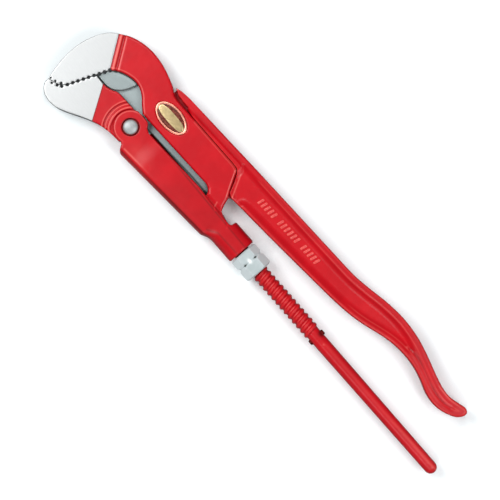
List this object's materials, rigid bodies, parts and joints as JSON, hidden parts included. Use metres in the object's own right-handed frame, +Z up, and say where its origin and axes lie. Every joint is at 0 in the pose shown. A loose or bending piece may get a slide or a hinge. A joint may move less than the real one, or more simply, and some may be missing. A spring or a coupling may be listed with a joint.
{
  "type": "pipe wrench",
  "caption": "Pipe wrench with curved toothed jaws, a long channelled lever leg, and a threaded rod leg held by a folded sleeve and an adjusting nut.",
  "frame": {"origin": "centre of the bounding box at its lowest point, the wrench lying on its side", "axes": "+X along the rod towards the jaws, +Y to the side where the mouth opens, +Z up out of the wrench's flat side"},
  "size_m": [0.4314, 0.096, 0.0248],
  "materials": {
    "red_enamel_leg": "glossy red enamel over forged steel, jaw ground bright",
    "red_enamel_hook": "glossy red enamel over forged steel, jaw ground bright",
    "red_enamel_sleeve": "glossy red enamel over folded steel sheet",
    "zinc_plate": "zinc plated",
    "bright_steel": "bright domed head",
    "gilt": "gilt",
    "dark_enamel": "dark red-brown enamel",
    "dark_steel": "darkened"
  },
  "bodies": {
    "sleeve_body": {"sleeve": "red_enamel_sleeve", "pivot_rivet": "bright_steel"},
    "long_leg": {"lower_jaw_leg": "red_enamel_leg"},
    "hook_leg": {"hook_jaw_leg": "red_enamel_hook", "badge": "gilt", "badge_enamel": "dark_enamel", "stop_pin": "dark_steel"},
    "nut": {"adjusting_nut": "zinc_plate"}
  },
  "joints": [
    {"name": "leg_hinge", "type": "hinge", "parent": "sleeve_body", "child": "long_leg", "pos_m": [0.1407, 0.0136, 0.0124], "axis": [0, 0, 1], "range_deg": [0, 5]},
    {"name": "hook_slide", "type": "slide", "parent": "sleeve_body", "child": "hook_leg", "axis": [1, 0, 0], "range_m": [0, 0.06]},
    {"name": "nut_turn", "type": "hinge", "parent": "sleeve_body", "child": "nut", "pos_m": [0.0007, 0.0124, 0.0124], "axis": [1, 0, 0], "continuous": true}
  ],
  "couplings": [
    {"joint": "nut_turn", "follows": "hook_slide", "rad_per_m": -1295.5}
  ]
}
